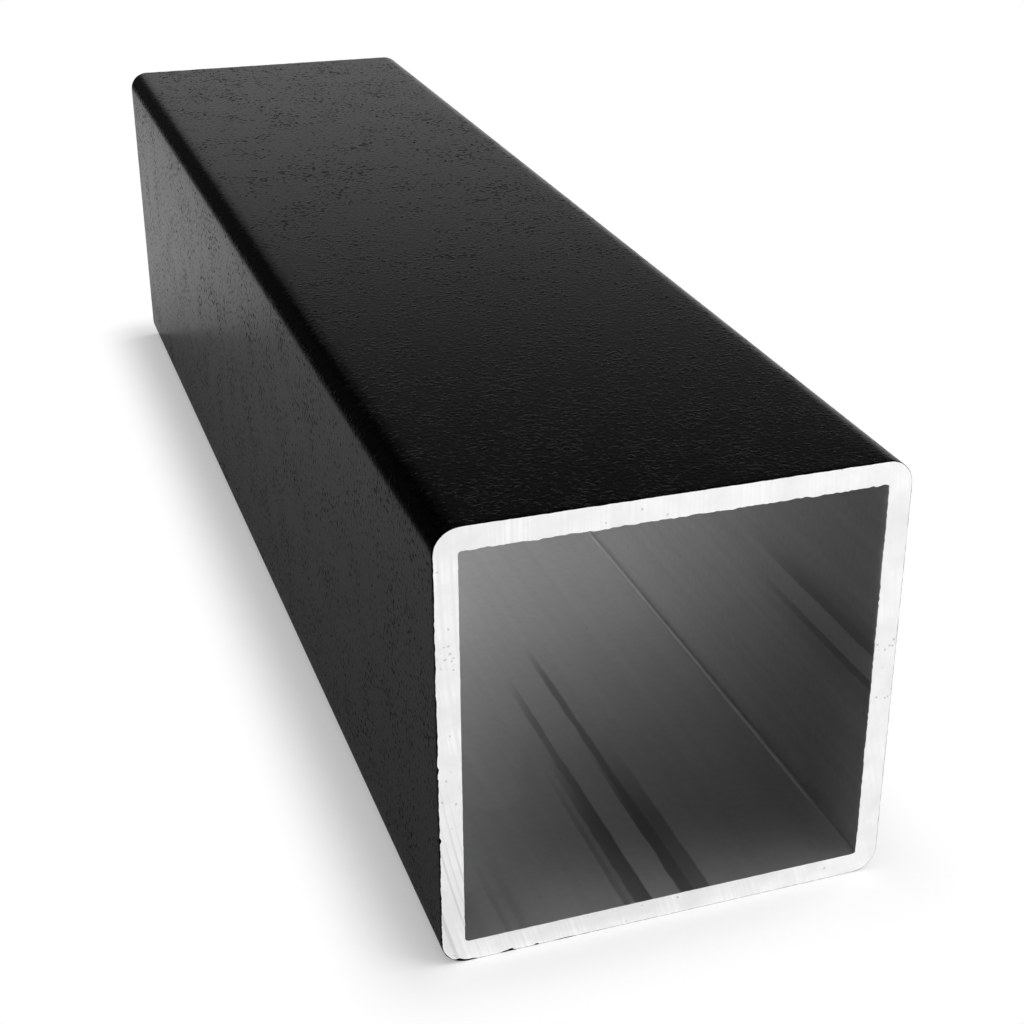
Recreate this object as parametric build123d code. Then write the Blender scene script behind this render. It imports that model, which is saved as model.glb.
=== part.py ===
"""Square hollow section: one length of extruded aluminium tube, powder coated and sawn square at both ends.

The tube lies on one of its flat sides along +Y. The origin is the centre of its underside, and +Z is up.
"""

from build123d import *
import os

# Driving dimensions, in millimetres. The outside sizes are taken over the powder coat.
SIDE = 50.0  # width and height across the flats
WALL = 2.5  # wall, coat included: the mill-finish bore is bare
LENGTH = 195.0  # from sawn end to sawn end
OUTER_RADIUS = 2.85  # long outside corners
BORE_RADIUS = 0.5  # long inside corners, as the die's core leaves them

OUT = "parts"


def section(side, wall, outer_radius, bore_radius):
    """The hollow section, centred on its own middle."""
    bore = side - 2 * wall
    with BuildSketch() as drawn:
        RectangleRounded(side, side, outer_radius)
        RectangleRounded(bore, bore, bore_radius, mode=Mode.SUBTRACT)
    return drawn.sketch


def square_tube():
    """The section pushed through the die along Y, then sawn off at both ends."""
    middle = Plane(origin=(0, 0, SIDE / 2), x_dir=(1, 0, 0), z_dir=(0, 1, 0))
    drawn = section(SIDE, WALL, OUTER_RADIUS, BORE_RADIUS)
    return extrude(middle * drawn, amount=LENGTH / 2, both=True)


def report(name, part):
    """Prints the piece's own measures, to set against the section's."""
    box = part.bounding_box()
    across = part.volume / LENGTH
    print(f"{name}: {box.size.X:.2f} x {box.size.Y:.2f} x {box.size.Z:.2f} mm, section {across:.1f} mm2")


NODES = {"square_tube": square_tube()}

os.makedirs(OUT, exist_ok=True)
for name, part in NODES.items():
    part.label = name
    report(name, part)
    export_step(part, f"{OUT}/{name}.step")
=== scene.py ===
# %% [markdown]
# # A sawn length of square aluminium tube
#
# The real object is one piece: hot aluminium is pushed through a die, the long tube is powder coated
# black on the outside, and a short length is sawn off it. So this is one closed mesh with three
# finishes: the black coat, the bright sawn rings at both ends and the bare bore.
# It could be left as the plain model with three colours. Here it is modelled again with the ragged
# rims that a saw leaves, because the eye goes to those rims first.
# The plain model is the frame: every size below is read from it.

# %% Load the frame
import math

import bmesh
import bpy
from mathutils import Matrix, Vector, noise


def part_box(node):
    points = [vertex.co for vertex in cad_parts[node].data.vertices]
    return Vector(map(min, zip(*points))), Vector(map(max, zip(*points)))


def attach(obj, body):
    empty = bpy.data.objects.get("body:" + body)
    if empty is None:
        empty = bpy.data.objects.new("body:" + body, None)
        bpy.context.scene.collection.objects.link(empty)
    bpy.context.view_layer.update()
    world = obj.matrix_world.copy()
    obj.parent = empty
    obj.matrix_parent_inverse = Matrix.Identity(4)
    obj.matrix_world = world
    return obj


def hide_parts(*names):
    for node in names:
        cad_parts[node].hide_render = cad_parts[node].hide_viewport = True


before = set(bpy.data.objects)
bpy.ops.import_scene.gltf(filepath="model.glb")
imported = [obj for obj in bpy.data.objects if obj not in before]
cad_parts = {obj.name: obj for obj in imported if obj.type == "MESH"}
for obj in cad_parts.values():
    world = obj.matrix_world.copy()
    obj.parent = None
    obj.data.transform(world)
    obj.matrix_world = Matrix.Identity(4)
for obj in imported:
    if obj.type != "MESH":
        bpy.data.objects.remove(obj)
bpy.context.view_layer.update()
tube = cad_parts["square_tube"]
print("frame:", len(tube.data.polygons), "faces in the plain tube")

# %% [markdown]
# ## Sizes
# A drawing of this tube needs five numbers: the side, the wall, the length and the two corner radii.
# They could be typed in, but then a change to the plain model would not reach this script. So they
# are measured: a box gives the outside, and a ray from the middle of the bore finds the wall.

# %% Read the five sizes, in millimetres
MM = 0.001
lowest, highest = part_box("square_tube")
SIDE = (highest.x - lowest.x) / MM
LENGTH = (highest.y - lowest.y) / MM
HALF = SIDE / 2  # the flanks are at x = -HALF and HALF, and the middle of the bore is at z = HALF
END = LENGTH / 2  # the sawn ends are at y = -END and END

middle = (lowest + highest) / 2
_, bore_wall, _, _ = tube.ray_cast(middle, (1, 0, 0))
BORE = bore_wall.x / MM
WALL = HALF - BORE


def corner_radius(half, height):
    """A flat at this height stops where its rounded corner begins."""
    level = [v.co.x / MM for v in tube.data.vertices if abs(v.co.z / MM - height) < 0.001]
    return half - max(x for x in level if x < half)


OUTER_RADIUS = corner_radius(HALF, 0)
BORE_RADIUS = corner_radius(BORE, WALL)
print(f"side {SIDE:.2f}, wall {WALL:.2f} and length {LENGTH:.1f} mm")
print(f"corner radii {OUTER_RADIUS:.2f} outside and {BORE_RADIUS:.2f} mm inside")

# %% [markdown]
# ## Camera
# The tube is seen from close by, from above and to the left of its near end, so its far end looks
# much smaller. A camera's place, lens and turn can be set by eye, or worked out from the straight
# edges of the object, which is exact. The shift moves the frame without changing the perspective.

# %% Set the camera
CAMERA_PLACE = (-64.7, -241.1, 124.5)  # mm
CAMERA_HEADING = 20.635  # degrees from +Y towards +X
CAMERA_DIP = 25.517  # degrees below level
CAMERA_ROLL = 0.745  # degrees
LENS = 64.3  # mm, on a sensor 36 mm wide
SHIFT = (-0.0656, -0.0157)  # shares of the frame's width

lens = bpy.data.cameras.new("camera")
lens.lens = LENS
lens.sensor_width = 36
lens.shift_x, lens.shift_y = SHIFT
lens.clip_start = 0.01
camera = bpy.data.objects.new("camera", lens)
bpy.context.scene.collection.objects.link(camera)
bpy.context.scene.camera = camera
camera.matrix_world = (
    Matrix.Translation(Vector(CAMERA_PLACE) * MM)
    @ Matrix.Rotation(math.radians(-CAMERA_HEADING), 4, "Z")
    @ Matrix.Rotation(math.radians(90 - CAMERA_DIP), 4, "X")
    @ Matrix.Rotation(math.radians(CAMERA_ROLL), 4, "Z")
)
print("camera looks along", [round(x, 3) for x in camera.matrix_world.to_3x3() @ Vector((0, 0, -1))])

# %% [markdown]
# ## Nodes and colours
# A material is a small network of nodes. A few helpers keep the networks short: one adds a node with
# its settings and its links, and one turns a colour as it is written on a screen, such as #f0f1f2,
# into the plain amounts of light that the renderer counts with. The last tells how a point comes to
# be seen: by the camera itself, or in a mirror image.

# %% Helpers for materials


def colour(code):
    """#rrggbb, as sRGB, to linear red, green, blue and an alpha of 1."""
    parts = [int(code[i : i + 2], 16) / 255 for i in (1, 3, 5)]
    return [p / 12.92 if p <= 0.04045 else ((p + 0.055) / 1.055) ** 2.4 for p in parts] + [1]


def add(tree, kind, inputs=None, stops=(), **settings):
    """Adds a node. An input is named or numbered, and gets a value, a socket or a node. Stops are a
    colour ramp's places and colours."""
    new = tree.nodes.new(kind)
    for name, value in settings.items():
        setattr(new, name, value)
    for name, value in (inputs or {}).items():
        if isinstance(value, bpy.types.Node):
            value = value.outputs[0]
        if isinstance(value, bpy.types.NodeSocket):
            tree.links.new(value, new.inputs[name])
        else:
            new.inputs[name].default_value = value
    for i, (place, code) in enumerate(stops):
        element = new.color_ramp.elements[i] if i < 2 else new.color_ramp.elements.new(place)
        element.position = place
        element.color = colour(code)
    return new


def ways_of_seeing(tree):
    """1 for what the camera sees itself, and 1 for what is seen in a mirror image or through glass."""
    path = add(tree, "ShaderNodeLightPath")
    shine = add(
        tree,
        "ShaderNodeMath",
        {0: path.outputs["Is Glossy Ray"], 1: path.outputs["Is Transmission Ray"]},
        operation="MAXIMUM",
    )
    return path.outputs["Is Camera Ray"], shine


print("mid grey, #808080, as an amount of light:", round(colour("#808080")[0], 3))

# %% [markdown]
# ## Studio
# The tube lies on white paper in soft daylight. Round it, low down, is the same white. Higher up the
# room is dark below a pale ceiling, and its left side is unlit, nearly round to the tube's far end.
# One white room would be simpler, but a black coat shows little more than what it mirrors. With this
# room its top is nearly black close by, where it is seen steeply and mirrors the dark, and greyer
# further off, where it is seen at a flat angle and mirrors the white. The long corner on the left
# mirrors the unlit side.

# %% What the room looks like in a mirror image
scene = bpy.context.scene
scene.view_settings.view_transform = "Standard"
world = bpy.data.worlds.new("studio")
scene.world = world
world.use_nodes = True
tree = world.node_tree
tree.nodes.clear()

WHITE = "#ffffff"
ROOM_LIGHT = 0.1  # what the room sends to a dull surface, which the lamps below make up to 1
UP_THE_WALLS = (  # degrees above level, and the colour of the room there
    (13, WHITE),
    (18, "#b8b8b8"),
    (24, "#606060"),
    (32, "#242424"),
    (42, "#242424"),
    (56, "#c0c0c0"),
)
UNLIT = Vector((-0.84, 0.54, 0))  # the middle of the unlit side, to the left behind the tube
UNLIT_EDGE = (0.50, 0.62)  # where the light ends, as the cosine of the angle from its middle
UNLIT_LEVEL = 0.08

direction = add(tree, "ShaderNodeTexCoord")
height = add(tree, "ShaderNodeSeparateXYZ", {0: direction.outputs["Generated"]})
walls = add(
    tree,
    "ShaderNodeValToRGB",
    {0: height.outputs["Z"]},
    stops=[(math.sin(math.radians(angle)), code) for angle, code in UP_THE_WALLS],
)
to_unlit = add(
    tree, "ShaderNodeVectorMath", {0: direction.outputs["Generated"], 1: UNLIT}, operation="DOT_PRODUCT"
)
lit = add(
    tree,
    "ShaderNodeMapRange",
    {0: to_unlit.outputs["Value"], 1: UNLIT_EDGE[0], 2: UNLIT_EDGE[1], 3: 1.0, 4: UNLIT_LEVEL},
    interpolation_type="SMOOTHSTEP",
)
print("the unlit side ends", round(math.degrees(math.acos(UNLIT_EDGE[0]))), "degrees from its middle")

# %% World
seen = add(tree, "ShaderNodeBackground", {"Color": colour(WHITE), "Strength": 1})
mirrored = add(tree, "ShaderNodeBackground", {"Color": walls, "Strength": lit})
dull_light = add(tree, "ShaderNodeBackground", {"Color": colour(WHITE), "Strength": ROOM_LIGHT})
by_camera, in_shine = ways_of_seeing(tree)
dull_or_shine = add(tree, "ShaderNodeMixShader", {0: in_shine, 1: dull_light, 2: mirrored})
backdrop = add(tree, "ShaderNodeMixShader", {0: by_camera, 1: dull_or_shine, 2: seen})
add(tree, "ShaderNodeOutputWorld", {"Surface": backdrop})
print("nodes in the room:", len(tree.nodes))

# %% [markdown]
# Daylight from a window can be one big area lamp, but then its strength falls off across the tube.
# Sun lamps with a wide angle are as soft and have the same strength everywhere, so it is easy to add
# them up: their shares of light on a level surface, and the room's, come to 1, and then a colour
# comes out as it is written.

# %% Lamps
LAMPS = (  # name, where from, strength
    ("window", (0.72, -0.10, 0.63), 0.74),
    ("front_fill", (0.45, -0.75, 0.45), 0.32),
    ("ceiling", (0, 0, 1), 0.26),
)
LAMP_ANGLE = math.radians(60)  # across, as seen from the tube

level_light = ROOM_LIGHT
for name, place, strength in LAMPS:
    lamp = bpy.data.lights.new(name, "SUN")
    lamp.energy = strength * math.pi
    lamp.angle = LAMP_ANGLE
    shining = bpy.data.objects.new(name, lamp)
    shining.rotation_euler = Vector(place).to_track_quat("Z", "Y").to_euler()
    scene.collection.objects.link(shining)
    level_light += strength * Vector(place).normalized().z
print(f"light on a level surface: {level_light:.2f}")

# %% [markdown]
# The paper is white and dull. Paper that is lit like this would look a little grey all over, so away
# from the tube it is taken the rest of the way to plain white, for the camera and in reflections.
# Beside the tube it stays as it is lit, which keeps the soft shadow. In reflections the paper also
# ends in the dark 45 to 85 mm to the left, where the unlit side of the room begins, so the left
# flank mirrors white only low down and grows darker towards the top.

# %% Paper
PAPER_HALF = 3.0  # m

bm = bmesh.new()
bmesh.ops.create_grid(bm, x_segments=1, y_segments=1, size=PAPER_HALF)
paper_mesh = bpy.data.meshes.new("paper")
bm.to_mesh(paper_mesh)
bm.free()
paper = bpy.data.objects.new("paper", paper_mesh)
scene.collection.objects.link(paper)
print(f"paper {2 * PAPER_HALF:.0f} m wide")

# %% How far a point lies from the tube


def empty_material(name):
    """A material with no nodes yet, its node tree and the object's own coordinates."""
    material = bpy.data.materials.new(name)
    material.use_nodes = True
    tree = material.node_tree
    tree.nodes.clear()
    return material, tree, add(tree, "ShaderNodeTexCoord").outputs["Object"]


white_paper, tree, place = empty_material("white_paper")
split = add(tree, "ShaderNodeSeparateXYZ", {0: place})
away = []
for name, half in (("X", HALF), ("Y", END)):
    distance = add(tree, "ShaderNodeMath", {0: split.outputs[name]}, operation="ABSOLUTE")
    away.append(add(tree, "ShaderNodeMath", {0: distance, 1: half * MM}, operation="SUBTRACT"))
    away[-1] = add(tree, "ShaderNodeMath", {0: away[-1], 1: 0.0}, operation="MAXIMUM")
beside = add(tree, "ShaderNodeCombineXYZ", {0: away[0], 1: away[1]})
gap = add(tree, "ShaderNodeVectorMath", {0: beside}, operation="LENGTH").outputs["Value"]
print(f"the gap is counted from the flanks, {HALF:.0f} mm out, and the ends, {END:.1f} mm out")

# %% White paper
PAPER_COLOUR = "#f8f8f8"
CAMERA_WHITE = (gap, 0.0, 11.5, 0.39, 1.0)  # from and to in mm, and the share of plain white there
MIRROR_PLAIN = (gap, 70.0, 200.0, 0.0, 1.0)  # the same for reflections
MIRROR_LEVEL = (split.outputs["X"], -85.0, -45.0, 0.03, 1.0)  # how bright reflections show it

ramps = []
for measure, start, stop, at_start, at_stop in (CAMERA_WHITE, MIRROR_PLAIN, MIRROR_LEVEL):
    ramp = add(
        tree,
        "ShaderNodeMapRange",
        {0: measure, 1: start * MM, 2: stop * MM, 3: at_start, 4: at_stop},
        interpolation_type="SMOOTHSTEP",
    )
    ramps.append(ramp)
camera_white, mirror_plain, mirror_level = ramps
by_camera, in_shine = ways_of_seeing(tree)
left_side = add(tree, "ShaderNodeMath", {0: 1.0, 1: mirror_level}, operation="SUBTRACT")
mirror_share = add(tree, "ShaderNodeMath", {0: mirror_plain, 1: left_side}, operation="MAXIMUM")
for_camera = add(tree, "ShaderNodeMath", {0: camera_white, 1: by_camera}, operation="MULTIPLY")
for_shine = add(tree, "ShaderNodeMath", {0: mirror_share, 1: in_shine}, operation="MULTIPLY")
share = add(tree, "ShaderNodeMath", {0: for_camera, 1: for_shine}, operation="ADD")
level = add(tree, "ShaderNodeMix", {0: in_shine, 2: 1.0, 3: mirror_level}, data_type="FLOAT")
dull = add(tree, "ShaderNodeBsdfDiffuse", {"Color": colour(PAPER_COLOUR)})
plain = add(tree, "ShaderNodeEmission", {"Color": colour(WHITE), "Strength": level})
surface = add(tree, "ShaderNodeMixShader", {0: share, 1: dull, 2: plain})
add(tree, "ShaderNodeOutputMaterial", {"Surface": surface})
paper_mesh.materials.append(white_paper)
print("nodes in the paper:", len(tree.nodes))

# %% [markdown]
# ## Powder coat
# Polyester powder, black, with a fine texture: it is sprayed on dry and baked, and it melts and draws
# together into soft waves, with grains in them that stay a little proud and dull, in clusters.
# A black this dark shows no shade of its own, so the grain can't be painted on with colour. It shows
# because each wave tilts the mirror image a little, and because a grain mirrors less of it.

# %% Waves and grains
WAVES = 0.5  # mm from one to the next
WAVE_HEIGHT = 0.03  # mm
GRAINS = 0.6  # mm from one to the next
GRAIN_FOOT, GRAIN_TOP = 0.56, 0.73  # the noise's levels at a grain's foot and top
GRAIN_HEIGHT = 0.018  # mm
CLUSTER, CROWDING = 6.0, 0.35  # mm across, and how much easier a grain forms in the middle of one
APART = (0.1, 0.2, 0.3)  # m: the grains read the noise this far off, so they don't follow the waves

powder_coat, tree, place = empty_material("black_polyester_powder_coat")
waves = add(tree, "ShaderNodeTexNoise", {"Vector": place, "Scale": 1 / (WAVES * MM), "Detail": 1.5})
clusters = add(tree, "ShaderNodeTexNoise", {"Vector": place, "Scale": 1 / (CLUSTER * MM), "Detail": 2.0})
elsewhere = add(tree, "ShaderNodeVectorMath", {0: place, 1: APART}, operation="ADD")
seed = add(tree, "ShaderNodeTexNoise", {"Vector": elsewhere, "Scale": 1 / (GRAINS * MM), "Detail": 1.5})
crowded = add(tree, "ShaderNodeMath", {0: clusters, 1: CROWDING, 2: seed}, operation="MULTIPLY_ADD")
grains = add(
    tree,
    "ShaderNodeMapRange",
    {0: crowded, 1: GRAIN_FOOT + CROWDING / 2, 2: GRAIN_TOP + CROWDING / 2},
    interpolation_type="SMOOTHSTEP",
)
level = add(
    tree, "ShaderNodeMath", {0: grains, 1: GRAIN_HEIGHT / WAVE_HEIGHT, 2: waves}, operation="MULTIPLY_ADD"
)
relief = add(tree, "ShaderNodeBump", {"Height": level, "Strength": 1.0, "Distance": WAVE_HEIGHT * MM})
print(f"waves {WAVE_HEIGHT} mm high, {WAVES} mm apart, grains {GRAIN_HEIGHT} mm high, {GRAINS} mm apart")

# %% [markdown]
# Dust and dirt come as single specks. A Voronoi texture puts one point in every cell of space and
# gives each cell a random colour, so a small distance from the point is a round spot, and the colour
# draws which cells have one.

# %% Round spots


def spots(tree, place, cell, size, chance):
    """1 inside round spots of a size in mm, one in each cell of the space, or in some of them."""
    cells = add(tree, "ShaderNodeTexVoronoi", {"Vector": place, "Scale": 1 / (cell * MM)})
    inside = add(
        tree,
        "ShaderNodeMapRange",
        {0: cells.outputs["Distance"], 1: 0.25 * size / cell, 2: 0.5 * size / cell, 3: 1.0, 4: 0.0},
        interpolation_type="SMOOTHSTEP",
    )
    number = add(tree, "ShaderNodeSeparateColor", {0: cells.outputs["Color"]})
    drawn = add(tree, "ShaderNodeMath", {0: number, 1: chance}, operation="LESS_THAN")
    return add(tree, "ShaderNodeMath", {0: inside, 1: drawn}, operation="MULTIPLY")


# %% Black powder coat
BLACKS = ((0.38, "#010101"), (0.62, "#050505"))  # low and high in the waves
DUST = (14.0, 0.16, 0.6)  # mm: one place in each cell, the size of a speck, the share of places used
DUST_COLOUR = "#8c8c8c"
COAT_ROUGH = 0.22
DULLER = 0.28  # what a grain adds to the roughness
COAT_SHINE = 0.025  # the specular level, low so that the top stays black where it is seen steeply

body = add(tree, "ShaderNodeValToRGB", {"Fac": waves}, stops=BLACKS)
dust = spots(tree, place, *DUST)
dusty = add(tree, "ShaderNodeMix", {0: dust, 6: body, 7: colour(DUST_COLOUR)}, data_type="RGBA")
dullness = add(tree, "ShaderNodeMath", {0: grains, 1: DULLER, 2: COAT_ROUGH}, operation="MULTIPLY_ADD")
coat = add(
    tree,
    "ShaderNodeBsdfPrincipled",
    {
        "Base Color": dusty.outputs[2],
        "Roughness": dullness,
        "Specular IOR Level": COAT_SHINE,
        "Normal": relief,
    },
)
add(tree, "ShaderNodeOutputMaterial", {"Surface": coat})
print("nodes in the powder coat:", len(tree.nodes))

# %% [markdown]
# ## Sawn aluminium
# A toothed blade leaves fresh bare metal, bright and a little rough. Each tooth scrapes an arc, and
# all arcs share the blade's centre, here level with the top of the tube and well to its right. So
# the marks are nearly upright on the top wall and lean over lower down. The pattern is noise along
# the distance from the blade's centre. It comes and goes in patches, and fades towards the right.

# %% Arcs about the blade's centre
BLADE_RADIUS = 175.0  # mm
BLADE_HEIGHT = 50.0  # mm, its centre above the floor
TOOTH_PITCH = 0.4  # mm from mark to mark
SCRATCH_PITCH = 0.7  # mm

sawn_aluminium, tree, place = empty_material("sawn_aluminium")
split = add(tree, "ShaderNodeSeparateXYZ", {0: place})
rise = add(tree, "ShaderNodeMath", {0: split.outputs["Z"], 1: BLADE_HEIGHT * MM}, operation="SUBTRACT")
square = add(tree, "ShaderNodeMath", {0: rise, 1: rise}, operation="MULTIPLY")
rest = add(tree, "ShaderNodeMath", {0: (BLADE_RADIUS * MM) ** 2, 1: square}, operation="SUBTRACT")
reach = add(tree, "ShaderNodeMath", {0: rest}, operation="SQRT")
arc = add(tree, "ShaderNodeMath", {0: split.outputs["X"], 1: reach}, operation="ADD")
marks = []
for pitch, detail in ((TOOTH_PITCH, 3.0), (SCRATCH_PITCH, 1.0)):
    number = add(tree, "ShaderNodeMath", {0: arc, 1: 1 / (pitch * MM)}, operation="MULTIPLY")
    inputs = {"W": number, "Scale": 1.0, "Detail": detail}
    marks.append(add(tree, "ShaderNodeTexNoise", inputs, noise_dimensions="1D"))
tooth_marks, scratch_marks = marks
print(f"marks {TOOTH_PITCH} mm apart, on arcs of {BLADE_RADIUS} mm")

# %% Teeth and the metal's own shade
TOOTH_DEPTH = 0.0012  # mm
TEETH_LEVELS = (0.3, 0.7)  # the noise's levels at the bottom and top of a mark
PATCH = 3.0  # mm across
PATCH_LEVELS = (0.42, 0.66, 0.1, 1.0)  # from and to in the noise, and the marks' strength at each
FADE_RIGHT = (-18.0, 12.0, 1.0, 0.4)  # from and to in mm across, and the marks' strength at each
TOOTH_SHADE = 0.55  # how much the marks shade the metal, next to the patches
SAWN_SHADES = ((0.2, "#ebebeb"), (0.8, "#fcfcfc"))

low, high = TEETH_LEVELS
teeth = add(tree, "ShaderNodeMapRange", {0: tooth_marks, 1: low, 2: high, 3: -0.5, 4: 0.5})
patches = add(tree, "ShaderNodeTexNoise", {"Vector": place, "Scale": 1 / (PATCH * MM), "Detail": 4.0})
low, high, at_low, at_high = PATCH_LEVELS
amount = add(tree, "ShaderNodeMapRange", {0: patches, 1: low, 2: high, 3: at_low, 4: at_high})
teeth = add(tree, "ShaderNodeMath", {0: teeth, 1: amount}, operation="MULTIPLY")
start, stop, at_start, at_stop = FADE_RIGHT
fading = add(
    tree,
    "ShaderNodeMapRange",
    {0: split.outputs["X"], 1: start * MM, 2: stop * MM, 3: at_start, 4: at_stop},
)
teeth = add(tree, "ShaderNodeMath", {0: teeth, 1: fading}, operation="MULTIPLY")
shade = add(tree, "ShaderNodeMath", {0: teeth, 1: TOOTH_SHADE, 2: patches}, operation="MULTIPLY_ADD")
bright = add(tree, "ShaderNodeValToRGB", {"Fac": shade}, stops=SAWN_SHADES)
relief = add(tree, "ShaderNodeBump", {"Height": teeth, "Strength": 1.0, "Distance": TOOTH_DEPTH * MM})
print("shades of the sawn metal:", [code for _, code in SAWN_SHADES])

# %% [markdown]
# Low on the left wall a few teeth dug in and left darker scratches, and specks of dirt stick here and
# there, most of them in a few small places on the near end. Both could be cut into the mesh, but they
# are far too fine for that, so they are only darker metal.

# %% Scratches and specks
SCRATCH_LEVELS = (0.57, 0.7)  # the noise's levels where a scratch begins and where it is darkest
SCRATCHED = (12.0, 24.0)  # mm above the floor: all of it below the first, and none above the second
SCRATCH_DARK, SPECK_DARK = 0.22, 0.4
SPECK_CELL, SPECK_SIZE = 0.45, 0.36  # mm
SPECKS_SPREAD = 0.012  # the share of places with a speck, away from where they crowd
SPECKS_ROUND = (  # where they crowd: x and z in mm, and the share there
    (-23.7, 36.1, 0.9),
    (-23.9, 39.9, 0.35),
    (23.9, 29.0, 0.35),
    (24.4, 22.3, 0.35),
)
CROWD = (0.6, 1.6)  # mm from the middle of such a place: all of that share, and none of it
UNEVEN, PUSH = 0.3, 0.4  # mm: how fine the noise is that pushes spots out of round, and how far it can

low, high = SCRATCH_LEVELS
dug_in = add(tree, "ShaderNodeMapRange", {0: scratch_marks, 1: low, 2: high, 3: 0.0, 4: SCRATCH_DARK})
low, high = SCRATCHED
low_down = add(
    tree, "ShaderNodeMapRange", {0: split.outputs["Z"], 1: low * MM, 2: high * MM, 3: 1.0, 4: 0.0}
)
on_left = add(tree, "ShaderNodeMath", {0: split.outputs["X"], 1: -BORE * MM}, operation="LESS_THAN")
scratches = add(tree, "ShaderNodeMath", {0: dug_in, 1: low_down}, operation="MULTIPLY")
scratches = add(tree, "ShaderNodeMath", {0: scratches, 1: on_left}, operation="MULTIPLY")

chance = SPECKS_SPREAD
for x, z, most in SPECKS_ROUND:
    spot = Vector((x, -END, z)) * MM
    off = add(tree, "ShaderNodeVectorMath", {0: place, 1: spot}, operation="DISTANCE").outputs["Value"]
    near = add(tree, "ShaderNodeMapRange", {0: off, 1: CROWD[0] * MM, 2: CROWD[1] * MM, 3: most, 4: 0.0})
    chance = add(tree, "ShaderNodeMath", {0: near, 1: chance}, operation="MAXIMUM")
uneven = add(tree, "ShaderNodeTexNoise", {"Vector": place, "Scale": 1 / (UNEVEN * MM)}).outputs["Color"]
pushed = add(
    tree, "ShaderNodeVectorMath", {0: uneven, 1: [PUSH * MM] * 3, 2: place}, operation="MULTIPLY_ADD"
)
specks = spots(tree, pushed, SPECK_CELL, SPECK_SIZE, chance)
specks = add(tree, "ShaderNodeMath", {0: specks, 1: SPECK_DARK}, operation="MULTIPLY")
darkening = add(tree, "ShaderNodeMath", {0: scratches, 1: specks}, operation="MAXIMUM")
print("places where specks crowd:", len(SPECKS_ROUND))

# %% Sawn aluminium
SAWN_DIRT = "#787878"
SAWN_ROUGH = 0.45

darkened = add(tree, "ShaderNodeMix", {0: darkening, 6: bright, 7: colour(SAWN_DIRT)}, data_type="RGBA")
metal = add(
    tree,
    "ShaderNodeBsdfPrincipled",
    {"Base Color": darkened.outputs[2], "Metallic": 1.0, "Roughness": SAWN_ROUGH, "Normal": relief},
)
add(tree, "ShaderNodeOutputMaterial", {"Surface": metal})
print("nodes in the sawn metal:", len(tree.nodes))

# %% [markdown]
# ## Mill-finish aluminium
# The bore is as the press left it. The metal splits round the arms that hold the die's core and
# welds together again behind them, and that leaves a pair of darker streaks down the middle of every
# wall. Fine lines run the whole length. Handling left finger marks at the bottom wall's left corner.
# Painted shade darkens a band of the bottom wall behind its lighter mouth, and the rounding of the
# corners.
# All of it is one number, how dark the metal is at a point, made from the distance to the mouth and
# the place across a wall. A painted texture could show the same, but numbers fit any length of tube.

# %% Where a point lies in the bore
DRIFT_PATCH, DRIFT = 5.0, 14.0  # mm: how coarse the noise at the dirt's edges is, and its full swing
SLANT = 1.6  # the streaks on a level wall reach this much further in for each mm to the right

mill_finish, tree, place = empty_material("mill_finish_aluminium")
split = add(tree, "ShaderNodeSeparateXYZ", {0: place})
across = split.outputs["X"]
up = add(tree, "ShaderNodeMath", {0: split.outputs["Z"], 1: HALF * MM}, operation="SUBTRACT")
across_size = add(tree, "ShaderNodeMath", {0: across}, operation="ABSOLUTE")
up_size = add(tree, "ShaderNodeMath", {0: up}, operation="ABSOLUTE")
on_flank = add(tree, "ShaderNodeMath", {0: across_size, 1: up_size}, operation="GREATER_THAN")
on_bottom = add(tree, "ShaderNodeMath", {0: up, 1: -(BORE - BORE_RADIUS) * MM}, operation="LESS_THAN")
from_corner = add(tree, "ShaderNodeMath", {0: across_size, 1: up_size}, operation="MINIMUM")
from_end = add(tree, "ShaderNodeMath", {0: split.outputs["Y"]}, operation="ABSOLUTE")
from_end = add(tree, "ShaderNodeMath", {0: END * MM, 1: from_end}, operation="SUBTRACT")
drift = add(tree, "ShaderNodeTexNoise", {"Vector": place, "Scale": 1 / (DRIFT_PATCH * MM), "Detail": 4.0})
drift = add(tree, "ShaderNodeMath", {0: drift, 1: 0.5}, operation="SUBTRACT")
drifting = add(tree, "ShaderNodeMath", {0: drift, 1: DRIFT * MM, 2: from_end}, operation="MULTIPLY_ADD")
slanting = add(tree, "ShaderNodeMath", {0: across, 1: -SLANT, 2: from_end}, operation="MULTIPLY_ADD")
print(f"bore {2 * BORE:.1f} mm across, its flats {2 * (BORE - BORE_RADIUS):.1f} mm wide")

# %% [markdown]
# Each mark fades in or out over a few millimetres. A Map Range node does that: it turns one measure,
# such as the distance from the mouth, into a value that changes smoothly between two places.

# %% Where each mark fades
BORE_SHADE = 0.10  # how dark the painted shade on the bottom wall is
# painted shade in the rounding of the bore's corners, which dims their highlight
CORNER_SHADE = 0.5
MOUTH_ROUGH, INSIDE_ROUGH = 0.38, 0.285

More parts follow.
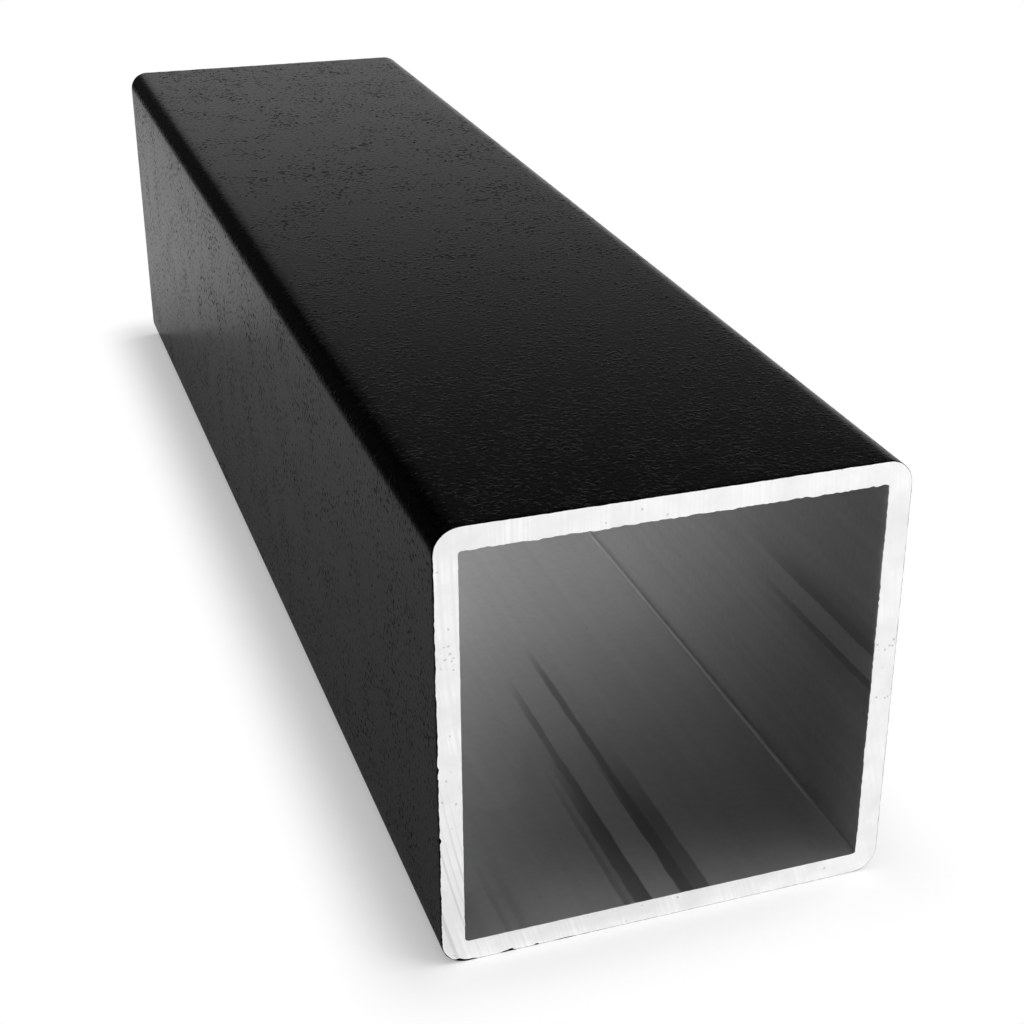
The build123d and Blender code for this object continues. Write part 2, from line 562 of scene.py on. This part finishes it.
fades = []
for measure, start, stop, at_start, at_stop in (  # from and to in mm, and the value at each
    (across, -10.0, -5.0, 21.0 * MM, 32.0 * MM),  # how far in the painted shade on the bottom wall reaches
    (across, 6.0, 14.0, 1.0, 0.0),  # the painted shade fades out on the right
    (from_end, 5.0, 16.0, 0.0, BORE_SHADE),  # and fades in from the mouth, which stays lighter
    (drifting, 2.0, 15.0, 1.0, 0.0),  # the finger marks' reach
    (from_end, 12.0, 34.0, 1.0, 0.0),  # where the streaks look as they do at the mouth
    (slanting, 40.0, 52.0, 1.0, 0.0),  # streaks on a level wall
    (from_end, 13.0, 32.0, 1.0, 0.0),  # streaks on a flank
    (from_corner, BORE - 0.55, BORE - 0.35, 0.0, CORNER_SHADE),  # painted shade, in the rounding only, which dims its highlight
    (from_end, 0.0, 14.0, MOUTH_ROUGH, INSIDE_ROUGH),  # the metal is duller near the mouth
):
    fade = add(
        tree,
        "ShaderNodeMapRange",
        {0: measure, 1: start * MM, 2: stop * MM, 3: at_start, 4: at_stop},
        interpolation_type="SMOOTHSTEP",
    )
    fades.append(fade)
shade_edge, shade_gone_right, shade_from_mouth, finger_reach, near_mouth, level_fade, flank_fade, corner_shade, roughness = fades
print("fades in the bore:", len(fades))

# %% [markdown]
# Across a wall, the streaks and the finger marks are drawn as a draughtsman would draw them, by
# their edges: each table below says how dark the metal is at some places across a wall, and a colour
# ramp blends between them. White is the darkest, since the tables say how much dirt there is.

# %% Streaks and finger marks, across a wall
STREAK_REACH = 8.0  # mm each side of a wall's middle
STREAKS_AT_MOUTH = (  # on a level wall: mm from its middle, and how dark
    (-4.95, "#000000"),
    (-4.80, "#c0c0c0"),
    (-4.35, "#c0c0c0"),
    (-4.15, "#909090"),
    (-3.75, "#909090"),
    (-3.55, "#f0f0f0"),
    (-1.85, "#ffffff"),
    (-1.65, "#000000"),
    (1.50, "#000000"),
    (1.70, "#ffffff"),
    (3.00, "#ffffff"),
    (3.25, "#e0e0e0"),
    (4.85, "#e0e0e0"),
    (5.15, "#000000"),
)
STREAKS_INSIDE = (
    (-2.95, "#000000"),
    (-2.60, "#d0d0d0"),
    (-1.95, "#d0d0d0"),
    (-1.75, "#000000"),
    (1.90, "#000000"),
    (2.15, "#e8e8e8"),
    (2.75, "#e8e8e8"),
    (3.10, "#505050"),
    (4.60, "#404040"),
    (5.00, "#000000"),
)
STREAKS_ON_FLANKS = (
    (-4.70, "#000000"),
    (-3.70, "#808080"),
    (-2.00, "#9c9c9c"),
    (-1.70, "#ffffff"),
    (-0.85, "#ffffff"),
    (-0.60, "#000000"),
    (2.20, "#000000"),
    (2.40, "#ffffff"),
    (3.60, "#e8e8e8"),
    (4.10, "#b4b4b4"),
    (5.30, "#9c9c9c"),
    (5.80, "#000000"),
)
FINGER_MARKS = (  # on the bottom wall
    (-22.4, "#d4d4d4"),
    (-20.6, "#d4d4d4"),
    (-19.2, "#b0b0b0"),
    (-18.1, "#a4a4a4"),
    (-17.9, "#c4c4c4"),
    (-17.5, "#c4c4c4"),
    (-17.2, "#a4a4a4"),
    (-16.5, "#a0a0a0"),
    (-16.3, "#b8b8b8"),
    (-15.8, "#b4b4b4"),
    (-15.3, "#8c8c8c"),
    (-11.0, "#000000"),
)
WOBBLE_PITCH, WOBBLE_STRETCH = 1.2, 4  # mm across, and how many times longer along the tube
WOBBLE = 0.5  # mm, from the noise's lowest to its highest

stretched = add(tree, "ShaderNodeMapping", {"Vector": place, "Scale": (1, 1 / WOBBLE_STRETCH, 1)})
wobble = add(tree, "ShaderNodeTexNoise", {"Vector": stretched, "Scale": 1 / (WOBBLE_PITCH * MM)})
wobble = add(tree, "ShaderNodeMath", {0: wobble, 1: 0.5}, operation="SUBTRACT")
along_wall = add(tree, "ShaderNodeMix", {0: on_flank, 2: across, 3: up}, data_type="FLOAT")
wavy = add(tree, "ShaderNodeMath", {0: wobble, 1: WOBBLE * MM, 2: along_wall}, operation="MULTIPLY_ADD")
profiles = []
for measure, reach, table in (
    (wavy, STREAK_REACH, STREAKS_AT_MOUTH),
    (wavy, STREAK_REACH, STREAKS_INSIDE),
    (wavy, STREAK_REACH, STREAKS_ON_FLANKS),
    (across, BORE, FINGER_MARKS),
):
    share = add(tree, "ShaderNodeMapRange", {0: measure, 1: -reach * MM, 2: reach * MM})
    stops = [((at + reach) / (2 * reach), code) for at, code in table]
    profiles.append(add(tree, "ShaderNodeValToRGB", {"Fac": share}, stops=stops))
at_mouth, inside, flank, fingers = profiles
print("streaks drawn with", [len(profile.color_ramp.elements) for profile in profiles], "places")

# %% Join the marks and the painted shade
BORE_SHADE_SOFT = 2.0  # mm each side of the painted shade's edge
BORE_SPECKS = (4.0, 0.35, 0.4)  # mm: one place in each cell, the size of a speck, the share used
BORE_SPECK_DARK = 0.5

level = add(tree, "ShaderNodeMix", {0: near_mouth, 6: inside, 7: at_mouth}, data_type="RGBA")
profile = add(tree, "ShaderNodeMix", {0: on_flank, 6: level.outputs[2], 7: flank}, data_type="RGBA")
fade = add(tree, "ShaderNodeMix", {0: on_flank, 2: level_fade, 3: flank_fade}, data_type="FLOAT")
streaks = add(tree, "ShaderNodeMath", {0: profile.outputs[2], 1: fade}, operation="MULTIPLY")
past_edge = add(tree, "ShaderNodeMath", {0: drifting, 1: shade_edge}, operation="SUBTRACT")
# painted shade: a darker band on the left of the bottom wall, behind its lighter mouth
bore_shade = add(
    tree,
    "ShaderNodeMapRange",
    {0: past_edge, 1: -BORE_SHADE_SOFT * MM, 2: BORE_SHADE_SOFT * MM, 3: 1.0, 4: 0.0},
    interpolation_type="SMOOTHSTEP",
)
for part in (shade_gone_right, shade_from_mouth):
    bore_shade = add(tree, "ShaderNodeMath", {0: bore_shade, 1: part}, operation="MULTIPLY")
fingers = add(tree, "ShaderNodeMath", {0: fingers, 1: finger_reach}, operation="MULTIPLY")
# finger marks, together with the painted shade behind the mouth
fingers_and_shade = add(tree, "ShaderNodeMath", {0: bore_shade, 1: fingers}, operation="MAXIMUM")
fingers_and_shade = add(tree, "ShaderNodeMath", {0: fingers_and_shade, 1: on_bottom}, operation="MULTIPLY")
specks = spots(tree, place, *BORE_SPECKS)
specks = add(tree, "ShaderNodeMath", {0: specks, 1: BORE_SPECK_DARK}, operation="MULTIPLY")
# streaks, finger marks and specks are marks on the metal; the stain and the corners' dust are painted
# shade
darkening = streaks
for more in (fingers_and_shade, corner_shade, specks):
    darkening = add(tree, "ShaderNodeMath", {0: darkening, 1: more}, operation="MAXIMUM")
# the stain and the dust in the corners printed here are painted shade
print("how dark: stain, dust in the corners and specks", BORE_SHADE, CORNER_SHADE, BORE_SPECK_DARK)

# %% Mill-finish aluminium
LEVEL_WALLS = ("#eeeeee", "#f8f8f8")
SHADED_FLANKS = ("#c6c6c6", "#d6d6d6")  # painted shade: the flanks are darker than the level walls
SHADE_LEVELS = (0.7, 1.3)  # where the two noises together give the darker and the lighter shade
MOTTLE_PITCH, MOTTLE_HEIGHT = 0.9, 0.01  # mm
LINE_PITCH, LINE_STRETCH = 1.6, 50  # mm across, and how many times longer along the tube
# the colour of the marks in the bore, and of its painted shade
BORE_DIRT_AND_SHADE = "#a0a0a0"

mottle = add(
    tree,
    "ShaderNodeTexNoise",
    {"Vector": place, "Scale": 1 / (MOTTLE_PITCH * MM), "Detail": 3.0, "Roughness": 0.6},
)
drawn = add(tree, "ShaderNodeMapping", {"Vector": place, "Scale": (1, 1 / LINE_STRETCH, 1)})
die_lines = add(
    tree, "ShaderNodeTexNoise", {"Vector": drawn, "Scale": 1 / (LINE_PITCH * MM), "Detail": 2.0}
)
shade = add(tree, "ShaderNodeMath", {0: mottle, 1: die_lines}, operation="ADD")
low, high = SHADE_LEVELS
bodies = []
for codes in (LEVEL_WALLS, SHADED_FLANKS):
    darker, lighter = (colour(code)[0] for code in codes)
    body = add(tree, "ShaderNodeMapRange", {0: shade, 1: low, 2: high, 3: darker, 4: lighter})
    bodies.append(body)
# the flanks' darker body is painted shade
body = add(tree, "ShaderNodeMix", {0: on_flank, 2: bodies[0], 3: bodies[1]}, data_type="FLOAT")
darkened = add(tree, "ShaderNodeMix", {0: darkening, 6: body, 7: colour(BORE_DIRT_AND_SHADE)}, data_type="RGBA")
relief = add(tree, "ShaderNodeBump", {"Height": mottle, "Strength": 1.0, "Distance": MOTTLE_HEIGHT * MM})
metal = add(
    tree,
    "ShaderNodeBsdfPrincipled",
    {"Base Color": darkened.outputs[2], "Metallic": 1.0, "Roughness": roughness, "Normal": relief},
)
add(tree, "ShaderNodeOutputMaterial", {"Surface": metal})
print("nodes in the mill finish:", len(tree.nodes))

# %% [markdown]
# ## The tube's mesh
# Two bars, one inside the other, with their long edges rounded, give the outside and the bore. Their
# ends are left open and joined by a ring of faces, so the whole is one closed skin. A boolean cut
# would give the same shape, but this way every face is a neat quad that can be cut finer.

# %% Two rounded bars
CORNER_STEPS = 12  # faces round each corner
NEAR = 0.001  # mm, for telling one place from another

bm = bmesh.new()


def is_long(edge):
    return abs(edge.verts[0].co.y - edge.verts[1].co.y) > NEAR


for half, radius in ((BORE, BORE_RADIUS), (HALF, OUTER_RADIUS)):
    corners = bmesh.ops.create_cube(bm, size=2)["verts"]
    bmesh.ops.scale(bm, verts=corners, vec=(half, END, half))
    bmesh.ops.translate(bm, verts=corners, vec=(0, 0, HALF))
    edges = [e for e in bm.edges if is_long(e) and all(v in corners for v in e.verts)]
    bmesh.ops.bevel(
        bm, geom=edges, offset=radius, segments=CORNER_STEPS, profile=0.5, affect="EDGES", material=-1
    )


def on_end(item, signs=(-1, 1)):
    """True for a face or edge that lies in a sawn plane."""
    return any(all(abs(v.co.y - sign * END) < NEAR for v in item.verts) for sign in signs)


bmesh.ops.delete(bm, geom=[f for f in bm.faces if on_end(f)], context="FACES_ONLY")
for sign in (-1, 1):
    bmesh.ops.bridge_loops(bm, edges=[e for e in bm.edges if on_end(e, (sign,))])
print("two bars and two end rings:", len(bm.faces), "faces")

# %% Lines to bend and shade by
STATION = 10.0  # mm between cuts along the tube
PANEL = 5.0  # mm between cuts across each side
END_BANDS = (0.12, 0.4, 1.0, 2.0, 4.0)  # mm from each end


def cut(place, normal):
    everything = bm.verts[:] + bm.edges[:] + bm.faces[:]
    bmesh.ops.bisect_plane(bm, geom=everything, plane_co=place, plane_no=normal, dist=NEAR / 10)


steps = int(HALF / PANEL) - 1
for i in range(-steps, steps + 1):
    cut((i * PANEL, 0, 0), (1, 0, 0))
    cut((0, 0, HALF + i * PANEL), (0, 0, 1))
for band in END_BANDS:
    cut((0, band - END, 0), (0, 1, 0))
    cut((0, END - band, 0), (0, 1, 0))
stations = int((END - END_BANDS[-1]) / STATION)
for i in range(-stations, stations + 1):
    cut((0, i * STATION, 0), (0, 1, 0))
print("after the cuts:", len(bm.faces), "faces")

# %% Rings on the sawn faces
FILM = 0.1  # mm, the coat's thickness
RING_STEPS = (FILM, 0.35, 0.5)  # mm, the width of each ring in turn

ends = [f for f in bm.faces if on_end(f)]
for width in RING_STEPS:
    bmesh.ops.inset_region(bm, faces=ends, thickness=width, use_boundary=True, use_even_offset=True)
print("after the rings:", len(bm.faces), "faces")

# %% Fine steps round the rims
FINE_ZONE = END_BANDS[-2]  # mm from each end
FINE_STEP = 0.2  # mm
SHORTEST = 1.0  # mm: shorter edges are those of the rounded corners, which are fine enough
PART_PANEL_CUTS = 9  # in the shorter panels beside the corners


def runs_round(edge):
    """True for an edge that follows the section's outline along a flat."""
    a, b = (v.co for v in edge.verts)
    mid, along = (a + b) / 2, b - a
    if END - abs(mid.y) > FINE_ZONE + NEAR or abs(along.y) > NEAR:
        return False
    level, upright = abs(along.z) < NEAR, abs(along.x) < NEAR
    on_top_or_bottom = abs(mid.z - HALF) > abs(mid.x)
    return (level and on_top_or_bottom) or (upright and not on_top_or_bottom)


for shortest, cuts in ((PANEL - NEAR, round(PANEL / FINE_STEP) - 1), (SHORTEST, PART_PANEL_CUTS)):
    edges = [e for e in bm.edges if runs_round(e) and e.calc_length() > shortest]
    bmesh.ops.subdivide_edges(bm, edges=edges, cuts=cuts, use_grid_fill=True, use_single_edge=True)
bmesh.ops.recalc_face_normals(bm, faces=bm.faces[:])
triangles = sum(len(f.verts) - 2 for f in bm.faces)
print("after the fine steps:", len(bm.faces), "faces", triangles, "triangles")

# %% [markdown]
# ## Which face has which finish
# The coat, the sawn metal and the bore meet along lines of the mesh, so each face has one finish.
# The coat is a film a tenth of a millimetre thick, and the saw shows its cut edge as a thin dark line
# round the bright ring. To tell the faces apart, one function measures how far a point lies outside
# a rounded square, and which way is straight out.

# %% Sort the faces


def outline(place, half, radius):
    """How far outside a rounded square round the bore's middle a place is, and the way out."""
    flat = half - radius
    across, up = abs(place.x) - flat, abs(place.z - HALF) - flat
    if across > 0 and up > 0:
        out = Vector((across, 0, up))
        beyond = out.length - radius
    elif across > up:
        out, beyond = Vector((1, 0, 0)), across - radius
    else:
        out, beyond = Vector((0, 0, 1)), up - radius
    out.x = math.copysign(out.x, place.x)
    out.z = math.copysign(out.z, place.z - HALF)
    return beyond, out.normalized()


COAT, SAWN, MILL = 0, 1, 2
for face in bm.faces:
    centre = face.calc_center_median()
    inside = -outline(centre, HALF, OUTER_RADIUS)[0]
    if on_end(face):
        face.material_index = COAT if inside < FILM else SAWN
    else:
        face.material_index = COAT if inside < WALL / 2 else MILL
counts = [sum(f.material_index == finish for f in bm.faces) for finish in (COAT, SAWN, MILL)]
print("faces of coat, sawn metal and bore:", counts)

# %% [markdown]
# ## A flat map of the skin
# A game or a web page can't read these materials, so an export paints them on a flat picture. The
# picture needs a map: every face's place on it. An automatic map cuts the skin into many patches and
# gives the narrow sawn rings hardly any room. This tube unrolls into four strips: the coat,
# the bore and the two rings, each as long as the way round. The rings get more than their share of
# room, since the finest detail is there.

# %% Unroll the skin
MAP_NAME = "OFBake"
MAP_SIDE, MARGIN = 1024, 8  # pixels
STRIPS = {"coat": (8, 640), "bore": (656, 270), "near": (934, 36), "far": (978, 36)}  # start, height
RING_REACH = 1.15  # how far a ring's strip reaches, in walls: it is wider over the bore's corners
SIDES = ("top", "right", "bottom", "left")


def way_round(place, wall):
    """0 to 4 round the section from the top's left corner, where wall is the side it belongs to."""
    across, up = place.x, place.z - HALF
    along, level = ((across, up), (-up, across), (-across, -up), (up, -across))[wall]
    return wall + (along / level + 1) / 2


def wall_of(place):
    """Which of the four sides a place belongs to, as its number in SIDES."""
    across, up = place.x, place.z - HALF
    if abs(up) > abs(across):
        return 0 if up > 0 else 2
    return 1 if across > 0 else 3


layer = bm.loops.layers.uv.new(MAP_NAME)
for face in bm.faces:
    centre = face.calc_center_median()
    wall = wall_of(centre)
    if on_end(face):
        name = "near" if centre.y < 0 else "far"
    else:
        name = "coat" if face.material_index == COAT else "bore"
    start, tall = STRIPS[name]
    for loop in face.loops:
        place = loop.vert.co
        if name in ("near", "far"):
            reach = max(abs(place.x), abs(place.z - HALF))
            share = (HALF - reach) / (WALL * RING_REACH)
        else:
            share = (place.y + END) / LENGTH
        across = MARGIN + way_round(place, wall) / 4 * (MAP_SIDE - 2 * MARGIN)
        loop[layer].uv = (across / MAP_SIDE, (start + share * tall) / MAP_SIDE)
print("way round on the map:", round((MAP_SIDE - 2 * MARGIN) / (4 * SIDE), 2), "pixels per mm")

# %% [markdown]
# ## Ragged rims
# The saw drags metal over the bore's edge as a burr, most of it where its teeth leave the wall, and
# chips the brittle coat at the outside. Bump in a material can't change an outline, so the rims
# themselves are moved, by smooth noise for the waves and by a few marks where the coat broke off
# further in.

# %% Move the bore's rim
BURR = {"top": 0.17, "right": 0.14, "bottom": 0.03, "left": 0.06}  # mm
BURR_DEPTHS = ((0.0, 1.0), (0.12, 0.6), (0.4, 0.15))  # mm from the end, and the share of the burr
BURR_EVEN = 0.45  # the share of it that is there all along
BURR_SLOW, SLOW_PITCH = 0.35, 3.7  # the share that comes and goes, and mm from one to the next
BURR_TEETH, TEETH_PITCH, TEETH_ABOVE = 1.4, 1.3, 0.25  # single teeth, where noise rises above this
BURR_GRIT, GRIT_PITCH = 0.6, 0.45  # and fine grit on all of it
ON_RIM = 10 * NEAR  # mm: near a rounded corner the points lie a little off the true line


def ripple(place, pitch, seed):
    """Smooth noise from -1 to 1 along a rim. The far end and every seed have their own."""
    return noise.noise(Vector((place.x / pitch + seed, math.copysign(7, place.y), place.z / pitch)))


def by_side(values, out):
    """The value for the side that faces this way, blended round the corners."""
    flank = values["right"] if out.x > 0 else values["left"]
    level = values["top"] if out.z > 0 else values["bottom"]
    return flank * out.x**2 + level * out.z**2


def share_at(depth):
    """The share of the burr at a depth in mm, which is 0 away from the depths that have one."""
    for level, share in BURR_DEPTHS:
        if abs(depth - level) < NEAR:
            return share
    return 0


rim = [v for v in bm.verts if abs(outline(v.co, BORE, BORE_RADIUS)[0]) < ON_RIM]
most = 0
for vert in rim:
    share = share_at(END - abs(vert.co.y))
    if share:
        out = outline(vert.co, BORE, BORE_RADIUS)[1]
        on_flat = max(abs(out.x), abs(out.z)) ** 4  # less in the corners
        slow = BURR_SLOW * ripple(vert.co, SLOW_PITCH, seed=1)
        teeth = max(0, ripple(vert.co, TEETH_PITCH, seed=3) - TEETH_ABOVE) * BURR_TEETH
        grit = ripple(vert.co, GRIT_PITCH, seed=9) * BURR_GRIT
        size = by_side(BURR, out) * (BURR_EVEN + slow + teeth + grit)
        vert.co -= out * size * share * on_flat
        most = max(most, size * share * on_flat)
print(f"{len(rim)} points in the bore's skin, the burr reaches {most:.2f} mm into the bore")

# %% Chip the coat's rim
CHIP, CHIP_PITCH = 0.05, 0.9  # mm, how far the coat's outside breaks back, and from one to the next
CHIP_DEPTHS = ((0.0, 1.0), (0.12, 0.35))  # mm from the end, and the share of the chip
FILM_SHOWS = {"top": 0.06, "right": 0.03, "bottom": 0.03, "left": 0.11}  # mm of coat on the sawn ring
FILM_SLOW, FILM_FINE = (0.7, 1.1), (0.4, 0.4)  # how much this varies, and mm from one to the next
FILM_LEAST = 0.012  # mm
FILM_MOST = FILM + RING_STEPS[1] * 0.8  # mm, or this ring would fold over the next one
FLECK_EVEN, FLECK_RAGGED, FLECK_PITCH = 0.8, 0.35, 0.35  # shares of a mark's depth, and mm
FLECKS = (  # on the near end: where the mark's middle is, its length and its depth, all in mm
    ("bottom", -23.1, 0.9, 0.42),
    ("bottom", -22.3, 2.4, 0.22),
    ("bottom", -17.8, 1.7, 0.20),
    ("bottom", -17.6, 0.7, 0.40),
    ("bottom", -14.7, 0.6, 0.24),
    ("bottom", -11.5, 2.6, 0.12),
    ("left", 23.9, 0.8, 0.24),
    ("left", 22.6, 0.7, 0.18),
    ("left", 15.6, 0.9, 0.30),
    ("left", 36.5, 1.2, 0.16),
)


def fleck(place):
    """How deep the marks in the near end reach here, in mm."""
    if place.y > 0:
        return 0
    side, deepest = SIDES[wall_of(place)], 0
    along = place.x if side in ("top", "bottom") else place.z
    for its_side, at, length, depth in FLECKS:
        off = (along - at) / (length / 2)
        if side == its_side and abs(off) < 1:
            ragged = FLECK_EVEN + FLECK_RAGGED * ripple(place, FLECK_PITCH, seed=5)
            deepest = max(deepest, depth * (1 - off * off) ** 0.5 * ragged)
    return deepest


for vert in bm.verts:
    beyond, out = outline(vert.co, HALF, OUTER_RADIUS)
    depth = END - abs(vert.co.y)
    if abs(beyond) < ON_RIM:
        for level, share in CHIP_DEPTHS:
            if abs(depth - level) < NEAR:
                vert.co -= out * CHIP * share * (0.5 + 0.5 * ripple(vert.co, CHIP_PITCH, seed=13))
    elif depth < NEAR and abs(beyond + FILM) < 2 * ON_RIM:
        slow = FILM_SLOW[0] * ripple(vert.co, FILM_SLOW[1], seed=17)
        fine = FILM_FINE[0] * ripple(vert.co, FILM_FINE[1], seed=21)
        shown = by_side(FILM_SHOWS, out) * (1 + slow + fine)
        shown = min(max(shown, fleck(vert.co), FILM_LEAST) + CHIP / 2, FILM_MOST)
        vert.co -= out * (shown - FILM)
print("marks in the coat's rim:", len(FLECKS))

# %% [markdown]
# ## The finished piece
# Up to here the mesh is in millimetres, because the drawing is. Blender counts in metres, so it is
# scaled once at the end. Smooth shading hides the facets of the rounded corners, and edges sharper
# than 30 degrees stay crisp.

# %% Write the mesh
SHARP_FROM = math.radians(30)
bmesh.ops.scale(bm, verts=bm.verts[:], vec=(MM, MM, MM))
mesh = bpy.data.meshes.new("coated_square_tube")
bm.to_mesh(mesh)
bm.free()
for material in (powder_coat, sawn_aluminium, mill_finish):
    mesh.materials.append(material)
piece = bpy.data.objects.new("coated_square_tube", mesh)
scene.collection.objects.link(piece)
mesh.shade_smooth()
mesh.set_sharp_from_angle(angle=SHARP_FROM)

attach(piece, "root")
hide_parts("square_tube")
print("piece:", piece.name, len(mesh.polygons), "faces", [m.name for m in mesh.materials])
